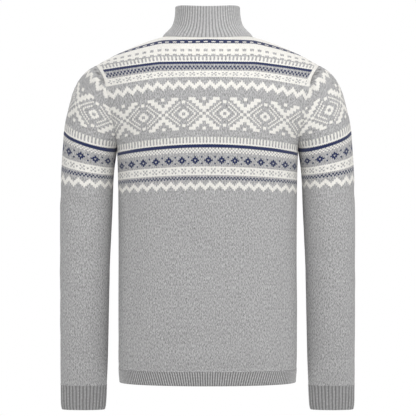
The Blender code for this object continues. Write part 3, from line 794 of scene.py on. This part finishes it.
def sleeve_relief(grid, sign, gap, seed):
    """The same for a sleeve, which folds only below the armpit."""
    around, height = -sign * grid[..., 3], grid[..., 2]
    above = np.clip((height - CUFF_TOP) / CUFF_FADE, 0, 1)
    below = np.clip((ARMPIT - height) / ARMPIT_FADE, 0, 1)
    edge = (1 - np.abs(around) ** FOLD_FADE["sleeve"]) * above * below
    drawn = fold_depth("sleeve", around, height)
    creased = crease_depth("sleeve", around, height, seed)
    return (creased - drawn) * edge + seam_relief(height, gap, CUFF_TOP)


class Cloth:
    """The outer surface of a piece, gathered from grids and then given its thickness."""

    def __init__(self):
        self.points, self.raised, self.faces, self.places, self.yarns = [], [], [], [], []
        self.count = 0

    def add(self, points, raised, places, yarns, turned):
        rows, columns = raised.shape
        index = self.count + np.arange(rows * columns).reshape(rows, columns)
        corners = [index[:-1, :-1], index[1:, :-1], index[1:, 1:], index[:-1, 1:]]
        faces = np.stack([corner.reshape(-1) for corner in corners], axis=1)
        self.points.append(points.reshape(-1, 3))
        self.raised.append(raised.reshape(-1))
        self.places.append(places.reshape(-1, 2))
        self.faces.append(faces[:, ::-1] if turned else faces)
        self.yarns.append(yarns.reshape(-1, 2))
        self.count += rows * columns

    def piece(self, name):
        """The finished piece: points that meet are welded, and the wall and its edges closed."""
        points, raised, places = map(np.concatenate, (self.points, self.raised, self.places))
        faces, yarns = np.concatenate(self.faces), np.concatenate(self.yarns)
        keys = np.round(points / WELD).astype(np.int64)
        _, first, same = np.unique(keys, axis=0, return_index=True, return_inverse=True)
        same = same.reshape(-1)
        points, raised = points[first], raised[first]
        corners = same[faces]
        kept = corners != np.roll(corners, 1, axis=1)
        sound = kept.sum(axis=1) >= 3
        sound &= (corners[:, 0] != corners[:, 2]) & (corners[:, 1] != corners[:, 3])
        corners, kept, faces, yarns = corners[sound], kept[sound], faces[sound], yarns[sound]
        directions = vertex_normals(points, corners)
        outer = points + directions * raised[:, None]
        inner = outer - directions * CLOTH
        total = len(points)
        polygons, spots, inside, shown = [], [], [], []
        for corner, keep, face, yarn in zip(corners, kept, faces, yarns):
            polygon = corner[keep].tolist()
            spot = places[face[keep]].tolist()
            polygons += [polygon, [total + one for one in reversed(polygon)]]
            spots += spot + spot[::-1]
            inside += [0, 1]
            shown += [yarn[0], yarn[1]]
        for start, finish, spot in open_edges(corners, kept, places[faces]):
            polygons.append([finish, start, total + start, total + finish])
            spots += [spot] * 4
            inside.append(1)
            shown.append(GREY)
        return knit_piece(name, np.concatenate([outer, inner]), polygons, spots, inside, shown)


def vertex_normals(points, corners):
    first, second, third, fourth = (points[corners[:, place]] for place in range(4))
    crossed = np.cross(third - first, fourth - second)
    normals = np.zeros_like(points)
    for place in range(4):
        np.add.at(normals, corners[:, place], crossed)
    return normals / np.maximum(np.linalg.norm(normals, axis=1, keepdims=True), TINY)


def open_edges(corners, kept, places):
    """The directed edges that only one face has, and the UV place of each."""
    edges = {}
    for corner, keep, place in zip(corners, kept, places):
        ring, spots = corner[keep].tolist(), place[keep].tolist()
        for start, finish, spot in zip(ring, ring[1:] + ring[:1], spots):
            edges[start, finish] = spot
    return [
        (start, finish, spot) for (start, finish), spot in edges.items()
        if (finish, start) not in edges
    ]


def knit_piece(name, points, polygons, places, inside, yarns):
    """A piece with its stitches as a UV map, and each face's side of the cloth and yarn."""
    mesh = bpy.data.meshes.new(name)
    mesh.from_pydata(points.tolist(), [], polygons)
    mesh.uv_layers.new(name="stitches").data.foreach_set("uv", np.ravel(places))
    for title, values in (("inside", inside), ("yarn", yarns)):
        attribute = mesh.attributes.new(title, "FLOAT", "FACE")
        attribute.data.foreach_set("value", np.array(values, float))
    mesh.shade_smooth()
    mesh.set_sharp_from_angle(angle=SHARP_ANGLE)
    piece = bpy.data.objects.new(name, mesh)
    bpy.context.scene.collection.objects.link(piece)
    return piece


def make_panel(side, lines):
    """The back or the front, from one half and its mirror."""
    levels = row_levels(TOP_ROW, PANEL_END)
    grid, number, end = half_grid(lines, PANEL_STITCHES, levels, PANEL_DEPTH_WEIGHT)
    gap = end * PANEL_STITCH
    cloth = Cloth()
    for sign in (1, -1):
        half = spanned(grid, side, gap) * (sign, 1, 1, sign)
        raised = panel_relief(side, half, gap, PANEL_SEEDS[side])
        rows = np.broadcast_to(levels[:, :1], number.shape)
        places = np.stack([sign * number, rows], axis=-1)
        yarns = stitch_yarns(levels, number, end, sign, side)
        turned = (sign < 0) == (side == "back")
        cloth.add(half[..., :3], raised, places, yarns, turned)
    return cloth.piece(side + "_knit")


def make_sleeves(lines):
    """Both sleeves from the right one's back and front halves, mirrored for the left."""
    levels = row_levels(SLEEVE_START, SLEEVE_END)
    halves = {}
    for side in lines:
        columns = sleeve_lines(side, armhole_line(lines[side]))
        halves[side] = half_grid(columns, SLEEVE_STITCHES, levels, SLEEVE_DEPTH_WEIGHT)
    pieces = {}
    for name, end_sign in (("sleeve_left", -1), ("sleeve_right", 1)):
        cloth = Cloth()
        for side, (grid, number, end) in halves.items():
            sign = 1 if side == "back" else -1
            gap = end * SLEEVE_STITCH
            grid = spanned(grid, side, gap)
            raised = sleeve_relief(grid, sign, gap, SLEEVE_SEEDS[name])
            rows = np.broadcast_to(levels[:, :1], number.shape)
            places = np.stack([sign * number, rows], axis=-1)
            yarns = stitch_yarns(levels, number, end, sign, name)
            turned = (side == "back") == (end_sign > 0)
            cloth.add(grid[..., :3] * (end_sign, 1, 1), raised, places, yarns, turned)
        pieces[name] = cloth.piece(name + "_knit")
    return pieces


def unit(vectors):
    return vectors / np.maximum(np.linalg.norm(vectors, axis=-1, keepdims=True), TINY)


def ribbed_band(name, base, normals, closed):
    """A ribbed band as a closed loop: up its outside from the seam, over its edge, and back.

    base and normals are grids, the first row on the seam and the last at the free edge.
    """
    rows, columns = base.shape[:2]
    turn = np.arange(columns) / RIB_STEPS
    shape = (0.5 - 0.5 * np.cos(2 * math.pi * turn)) ** RIB_ROUND
    down = np.linalg.norm(np.diff(base, axis=0), axis=2).mean(axis=1)
    down = np.concatenate([[0], np.cumsum(down)])
    fade = np.clip(down / SEAM_FADE, 0, 1)[:, None]
    raised = RIB_RAISE * (shape - RIB_SINK) * fade + SEAM_RISE * (1 - fade)
    outer = base + normals * raised[..., None]
    inner = base - normals * (CLOTH - INNER_RIB * raised)[..., None]
    onward = unit(base[-1] - base[-2])
    middle, reach = (outer[-1] + inner[-1]) / 2, (outer[-1] - inner[-1]) / 2
    radius = np.linalg.norm(reach, axis=1, keepdims=True)
    middle = middle - onward * radius
    turns = np.linspace(0, math.pi, EDGE_STEPS + 2)
    rounded = [
        middle + reach * math.cos(one) + onward * radius * math.sin(one) for one in turns
    ]
    grid = np.concatenate([outer[:-1], rounded, inner[-2::-1]])
    away = np.concatenate([down[:-1], np.full(len(rounded), down[-1]), down[-2::-1]])
    inside = np.arange(len(grid)) >= rows - 1 + len(rounded) // 2
    count = len(grid)
    index = np.arange(count * columns).reshape(count, columns)
    if closed:
        index[:, -1] = index[:, 0]
    polygons, places, hidden = [], [], []
    for place in range(count):
        other = (place + 1) % count
        for column in range(columns - 1):
            ring = [(place, column), (place, column + 1), (other, column + 1), (other, column)]
            polygons.append([int(index[one]) for one in ring])
            places += [(turn[one], away[row] / ROW) for row, one in ring]
            hidden.append(float(inside[place]))
    if not closed:
        for column, step in ((0, 1), (columns - 1, -1)):
            polygons.append(index[::step, column].tolist())
            places += [(turn[column], 0.0)] * count
            hidden.append(1.0)
    yarns = np.full(len(polygons), GREY)
    return knit_piece(name, grid.reshape(-1, 3), polygons, places, hidden, yarns)


def neck_point(turn):
    """A point of the neckline, turn being the angle round it from the wearer's right."""
    side = "back" if math.sin(turn) < 0 else "front"
    across = float(neck_across(NECK_HALF * math.cos(turn)))
    return torso_points(side, across, np.array(top_angle(side, across)))


def make_collar():
    """The collar, from the neckline up to its own smaller ring."""
    turns = math.pi + np.linspace(0, 2 * math.pi, COLLAR_RIBS * RIB_STEPS + 1)
    foot = np.array([neck_point(turn) for turn in turns])
    ahead = np.sin(turns)
    top = np.stack([
        COLLAR_TOP_HALF * np.cos(turns),
        COLLAR_TOP_FORWARD + COLLAR_TOP_DEPTH * ahead,
        COLLAR_TOP_HEIGHT - COLLAR_TOP_TILT * ahead - COLLAR_TOP_DIP * ahead**2,
    ], axis=-1)
    base = []
    for rise in np.linspace(0, 1, COLLAR_ROWS):
        inward = float(table_value(COLLAR_SECTIONS, COLLAR_NAMES, "rise", "inward", rise))
        base.append(foot + (top - foot) * (inward, inward, rise))
    base = np.array(base)
    across = np.gradient(base, axis=1)
    across[:, [0, -1]] = (base[:, 1] - base[:, -2])[:, None] / 2
    normals = unit(np.cross(across, np.gradient(base, axis=0)))
    return ribbed_band("collar_knit", base, normals, True)


def level_normals(row, closed):
    """Level directions outwards from a row that runs round from the left by the back."""
    onward = np.gradient(row, axis=0)
    if closed:
        onward[[0, -1]] = row[1] - row[-2]
    return unit(np.stack([onward[:, 1], -onward[:, 0], np.zeros(len(row))], axis=-1))


def make_hem(side):
    """One side's hem, from side seam to side seam below the panel."""
    dense = np.linspace(-1, 1, PROFILE_STEPS + 1)
    if side == "front":
        dense = dense[::-1]
    shares = np.linspace(0, 1, HEM_RIBS * RIB_STEPS + 1)
    base = []
    for height in np.linspace(HEM_TOP, HEM_BOTTOM, HEM_ROWS):
        row = [torso_points(side, across, np.array(height - SADDLE_START)) for across in dense]
        lean = HEM_LEAN * (HEM_TOP - height) / (HEM_TOP - HEM_BOTTOM)
        base.append(along(np.array(row), shares + lean * np.sin(2 * math.pi * shares)))
    base = np.array(base)
    normals = np.array([level_normals(row, False) for row in base])
    return downward_band("hem_" + side + "_knit", base, normals, False)


def make_cuff(name, end):
    """A cuff, end being -1 on the left and 1 on the right."""
    turns = math.pi + np.linspace(0, 2 * math.pi, PROFILE_STEPS + 1)
    base = []
    for height in np.linspace(CUFF_TOP, CUFF_BOTTOM, CUFF_ROWS):
        outer_x, inner_x, depth, forward = (
            float(table_value(CUFF_SECTIONS, CUFF_NAMES, "outer_z", one, height))
            for one in ("outer_x", "inner_x", "depth", "forward")
        )
        x = end * (outer_x + inner_x) / 2 + (outer_x - inner_x) / 2 * np.cos(turns)
        row = np.stack([x, forward + depth * np.sin(turns), np.full(len(turns), height)], axis=-1)
        base.append(along(row, np.linspace(0, 1, CUFF_RIBS * RIB_STEPS + 1)))
    base = np.array(base)
    normals = np.array([level_normals(row, True) for row in base])
    return downward_band(name + "_knit", base, normals, True)


def downward_band(name, base, normals, closed):
    """A band whose seam is at its top: its columns run the other way, so that it faces out."""
    return ribbed_band(name, base[:, ::-1], normals[:, ::-1], closed)


class Nodes:
    """Adds nodes to a tree and links them, so that a formula reads as one."""

    def __init__(self, tree):
        self.tree = tree

    def add(self, kind, **settings):
        node = self.tree.nodes.new(kind)
        for name, value in settings.items():
            setattr(node, name, value)
        return node

    def put(self, socket, value):
        if isinstance(value, bpy.types.NodeSocket):
            self.tree.links.new(value, socket)
        else:
            socket.default_value = value

    def math(self, operation, *values):
        node = self.add("ShaderNodeMath", operation=operation)
        for socket, value in zip(node.inputs, values):
            self.put(socket, value)
        return node.outputs[0]

    def mix(self, share, first, second):
        """A blend of two colours."""
        node = self.add("ShaderNodeMix", data_type="RGBA")
        self.put(node.inputs["Factor"], share)
        self.put(node.inputs[6], first)
        self.put(node.inputs[7], second)
        return node.outputs[2]

    def scaled(self, colour, amount):
        """A colour made lighter or darker by a number."""
        node = self.add("ShaderNodeVectorMath", operation="SCALE")
        self.put(node.inputs[0], colour)
        self.put(node.inputs["Scale"], amount)
        return node.outputs[0]

    def noise(self, place, scale, detail):
        node = self.add("ShaderNodeTexNoise")
        self.put(node.inputs["Vector"], place)
        node.inputs["Scale"].default_value = scale
        node.inputs["Detail"].default_value = detail
        return node.outputs["Fac"]

    def chances(self, place):
        """Three numbers from -0.5 to 0.5 for each whole place."""
        node = self.add("ShaderNodeTexWhiteNoise", noise_dimensions="3D")
        self.put(node.inputs["Vector"], place)
        return self.vector_math("SUBTRACT", node.outputs["Color"], (0.5, 0.5, 0.5))[0]

    def vector_math(self, operation, *values):
        node = self.add("ShaderNodeVectorMath", operation=operation)
        for socket, value in zip(node.inputs, values):
            self.put(socket, value)
        return node.outputs

    def vector(self, *values):
        node = self.add("ShaderNodeCombineXYZ")
        for socket, value in zip(node.inputs, values):
            self.put(socket, value)
        return node.outputs[0]

    def parts(self, vector):
        node = self.add("ShaderNodeSeparateXYZ")
        self.put(node.inputs[0], vector)
        return node.outputs

    def rest(self, value):
        """What a value leaves of one."""
        return self.math("SUBTRACT", 1.0, value)

    def humps(self, value, pace):
        """The size of a sine wave."""
        return self.math("ABSOLUTE", self.math("SINE", self.math("MULTIPLY", value, pace)))

    def wave(self, value):
        """A cosine wave that goes round once to each whole number."""
        return self.math("COSINE", self.math("MULTIPLY", value, 2 * math.pi))


def new_group(name, inputs, outputs):
    group = bpy.data.node_groups.new(name, "ShaderNodeTree")
    for direction, sockets in (("INPUT", inputs), ("OUTPUT", outputs)):
        for title, kind in sockets:
            group.interface.new_socket(title, in_out=direction, socket_type="NodeSocket" + kind)
    nodes = Nodes(group)
    return group, nodes, nodes.add("NodeGroupInput"), nodes.add("NodeGroupOutput")


def stitch_group():
    """The height of a knitted face by its stitch and row, and an uneven number for each leg."""
    group, nodes, given, result = new_group(
        "knit_stitches",
        (("Stitches", "Vector"), ("Inside", "Float")),
        (("Height", "Float"), ("Stitch", "Float")),
    )
    across, down, _ = nodes.parts(given.outputs["Stitches"])
    part = nodes.math("FRACT", across)
    peak = nodes.rest(nodes.math("ABSOLUTE", nodes.math("MULTIPLY_ADD", part, 2.0, -1.0)))
    slanted = nodes.math("MULTIPLY_ADD", peak, -STITCH_DIP, down)
    leg = nodes.math("POWER", nodes.humps(part, 2 * math.pi), LEG_ROUND)
    loop = nodes.math("POWER", nodes.humps(nodes.math("FRACT", slanted), math.pi), LOOP_ROUND)
    loop = nodes.math("MULTIPLY_ADD", loop, LOOP_SINK, 1 - LOOP_SINK)
    face = nodes.math("MULTIPLY", leg, loop)
    bars = nodes.math("MULTIPLY_ADD", nodes.wave(across), BAR_WAVE, 1 - BAR_WAVE)
    back = nodes.math("MULTIPLY", nodes.humps(down, math.pi), bars)
    turned = nodes.math("SUBTRACT", back, face)
    height = nodes.math("MULTIPLY_ADD", turned, given.outputs["Inside"], face)
    nodes.put(result.inputs["Height"], height)
    nodes.put(result.inputs["Stitch"], leg_chance(nodes, across, slanted))
    return group


def leg_chance(nodes, across, slanted):
    """An uneven number for each leg of each stitch.

    The four numbers of a stitch and the one below it add up to nothing, so that no broad
    patches show.
    """
    cells = nodes.math("MULTIPLY", across, 2.0), slanted
    halves = [nodes.math("MULTIPLY", nodes.math("FLOOR", cell), 0.5) for cell in cells]
    signs = [nodes.math("MULTIPLY_ADD", nodes.math("FRACT", half), 4.0, -1.0) for half in halves]
    signs = nodes.vector(*signs, nodes.math("MULTIPLY", *signs))
    block = nodes.vector(*(nodes.math("FLOOR", half) for half in halves), 0.0)
    return nodes.vector_math("DOT_PRODUCT", nodes.chances(block), signs)["Value"]


def wool_group():
    """Wool with its fibres' flecks: a colour uneven by fleck and stitch, with painted shade where
    it is low.
    """
    group, nodes, given, result = new_group(
        "wool",
        (
            ("Colour", "Color"), ("Height", "Float"), ("Stitch", "Float"), ("Fleck", "Float"),
            ("Shade", "Float"),
        ),
        (("Colour", "Color"),),
    )
    place = nodes.add("ShaderNodeTexCoord").outputs["Object"]
    fine = nodes.noise(place, FLECK_SCALE, FLECK_DETAIL)
    broad = nodes.noise(place, DRIFT_SCALE, DRIFT_DETAIL)
    fleck = nodes.math("MULTIPLY_ADD", fine, FIBRE_FLECK, -FIBRE_FLECK / 2)
    fleck = nodes.math("MULTIPLY_ADD", given.outputs["Stitch"], STITCH_FLECK, fleck)
    fleck = nodes.math("MULTIPLY_ADD", fleck, given.outputs["Fleck"], 1.0)
    drift = nodes.math("MULTIPLY_ADD", broad, 2 * DRIFT, 1 - DRIFT)
    # Painted shade: the colour darkens where the knit's height is low, by the Shade share
    sunk = nodes.math("SUBTRACT", given.outputs["Height"], 1.0)
    depth = nodes.math("MULTIPLY_ADD", sunk, given.outputs["Shade"], 1.0)
    amount = nodes.math("MULTIPLY", nodes.math("MULTIPLY", fleck, drift), depth)
    nodes.put(result.inputs["Colour"], nodes.scaled(given.outputs["Colour"], amount))
    return group


class Knit:
    """A knit material: the relief of its stitches, and a wool that waits for its colour."""

    def __init__(self, name, groups, bump_depth):
        self.material = bpy.data.materials.new(name)
        self.material.use_nodes = True
        self.nodes = nodes = Nodes(self.material.node_tree)
        self.stitches = nodes.add("ShaderNodeUVMap", uv_map="stitches").outputs[0]
        self.inside = nodes.add("ShaderNodeAttribute", attribute_name="inside").outputs["Fac"]
        relief = nodes.add("ShaderNodeGroup", node_tree=groups["stitches"])
        nodes.put(relief.inputs["Stitches"], self.stitches)
        nodes.put(relief.inputs["Inside"], self.inside)
        self.height = relief.outputs["Height"]
        self.wool = nodes.add("ShaderNodeGroup", node_tree=groups["wool"])
        self.give(Stitch=relief.outputs["Stitch"])
        bump = nodes.add("ShaderNodeBump")
        bump.inputs["Strength"].default_value = 1.0
        bump.inputs["Distance"].default_value = bump_depth
        nodes.put(bump.inputs["Height"], self.height)
        shader = self.material.node_tree.nodes["Principled BSDF"]
        nodes.put(shader.inputs["Base Color"], self.wool.outputs["Colour"])
        nodes.put(shader.inputs["Normal"], bump.outputs["Normal"])
        for title, value in WOOL_FINISH.items():
            shader.inputs[title].default_value = value

    def give(self, **values):
        """Sets what the wool takes."""
        for title, value in values.items():
            self.nodes.put(self.wool.inputs[title], value)


def patterned_knit(groups):
    """Stranded knit: the yarn of each face makes it grey, cream or navy."""
    knit = Knit("patterned_knit", groups, STITCH_BUMP)
    nodes = knit.nodes
    yarn = nodes.add("ShaderNodeAttribute", attribute_name="yarn").outputs["Fac"]
    coloured = nodes.math("GREATER_THAN", yarn, (GREY + CREAM) / 2)
    dark = nodes.math("GREATER_THAN", yarn, (CREAM + NAVY) / 2)
    colour = nodes.mix(coloured, (*GREY_WOOL, 1), (*CREAM_WOOL, 1))
    knit.give(
        Colour=nodes.mix(dark, colour, (*NAVY_WOOL, 1)),
        Height=knit.height,
        Fleck=nodes.math("MULTIPLY_ADD", coloured, COLOUR_FLECK - GREY_FLECK, GREY_FLECK),
        # Painted shade between the stitches
        Shade=STITCH_SHADE,
    )
    return knit.material


def ribbed_knit(name, groups):
    """Grey ribbed knit, with painted shade in the hollows between the ribs of its outer side."""
    shade, lightness = RIBS[name]
    knit = Knit(name, groups, RIB_BUMP)
    nodes = knit.nodes
    ridge = nodes.math("MULTIPLY_ADD", nodes.wave(nodes.parts(knit.stitches)[0]), -0.5, 0.5)
    # Painted shade in the hollows between the ribs of the outer side, made up for by a lighter
    # colour
    hollow_shade = nodes.math("MULTIPLY", nodes.rest(ridge), nodes.rest(knit.inside))
    knit.give(
        Colour=(*(one * lightness for one in GREY_WOOL), 1),
        Height=nodes.math("MULTIPLY", knit.height, nodes.rest(hollow_shade)),
        Fleck=RIB_FLECK,
        Shade=shade,
    )
    return knit.material


def make_floor():
    bpy.ops.object.select_all(action="DESELECT")
    bpy.ops.mesh.primitive_circle_add(
        vertices=FLOOR_SIDES, radius=FLOOR_RADIUS, fill_type="NGON",
        location=(0, 0, FLOOR_HEIGHT),
    )
    floor = bpy.context.object
    floor.name = "floor"
    bpy.ops.object.transform_apply()
    material = bpy.data.materials.new("floor")
    material.use_nodes = True
    shader = material.node_tree.nodes["Principled BSDF"]
    shader.inputs["Base Color"].default_value = (*FLOOR_COLOUR, 1)
    shader.inputs["Roughness"].default_value = FLOOR_ROUGHNESS
    floor.data.materials.append(material)


def make_light(name, place, sizes, power):
    light = bpy.data.lights.new(name, "AREA")
    light.shape = "RECTANGLE"
    light.size, light.size_y = sizes
    light.energy = power
    holder = bpy.data.objects.new(name, light)
    holder.location = place
    aim = Vector(LIGHT_AIM) - Vector(place)
    holder.rotation_euler = aim.to_track_quat("-Z", "Y").to_euler()
    bpy.context.scene.collection.objects.link(holder)


def make_world():
    """White all round near the level, and dimmer overhead and below."""
    world = bpy.data.worlds.new("studio")
    world.use_nodes = True
    nodes = Nodes(world.node_tree)
    background = world.node_tree.nodes["Background"]
    background.inputs["Color"].default_value = (1, 1, 1, 1)
    direction = nodes.add("ShaderNodeTexCoord").outputs["Generated"]
    steep = nodes.add("ShaderNodeMapRange")
    nodes.put(steep.inputs["Value"], nodes.math("ABSOLUTE", nodes.parts(direction)[2]))
    for title, value in WORLD_RANGE.items():
        nodes.put(steep.inputs[title], value)
    nodes.put(background.inputs["Strength"], steep.outputs[0])
    bpy.context.scene.world = world


def make_camera():
    camera = bpy.data.cameras.new("camera")
    camera.lens = CAMERA_LENS
    camera.sensor_width = CAMERA_SENSOR
    holder = bpy.data.objects.new("camera", camera)
    holder.location = CAMERA_PLACE
    holder.rotation_euler = (math.pi / 2, 0, 0)
    bpy.context.scene.collection.objects.link(holder)
    bpy.context.scene.camera = holder


def declare(piece, node):
    """Sets a piece on the root body and hides the solid that it stands for."""
    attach(piece, "root")
    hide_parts(node)


def build_sweater():
    """All nine pieces, each with its wool and what it stands for."""
    lines = {side: panel_lines(side) for side in ("back", "front")}
    pieces = {side: make_panel(side, lines[side]) for side in lines}
    pieces.update(make_sleeves(lines))
    pieces["collar"] = make_collar()
    for side in lines:
        pieces["hem_" + side] = make_hem(side)
    for name, end in (("cuff_left", -1), ("cuff_right", 1)):
        pieces[name] = make_cuff(name, end)
    groups = {"stitches": stitch_group(), "wool": wool_group()}
    wools = {"patterned_knit": patterned_knit(groups)}
    wools.update({name: ribbed_knit(name, groups) for name in RIBS})
    for node, piece in pieces.items():
        slot, flat, area = FLATS[node]
        own = slot if slot in wools else node.split("_")[0] + "_rib"
        piece.data.materials.append(wools[own])
        declare(piece, node)


build_sweater()
make_floor()
make_world()
make_light("key", *KEY)
make_light("rear", *REAR)
make_camera()
bpy.context.scene.view_settings.view_transform = "Standard"
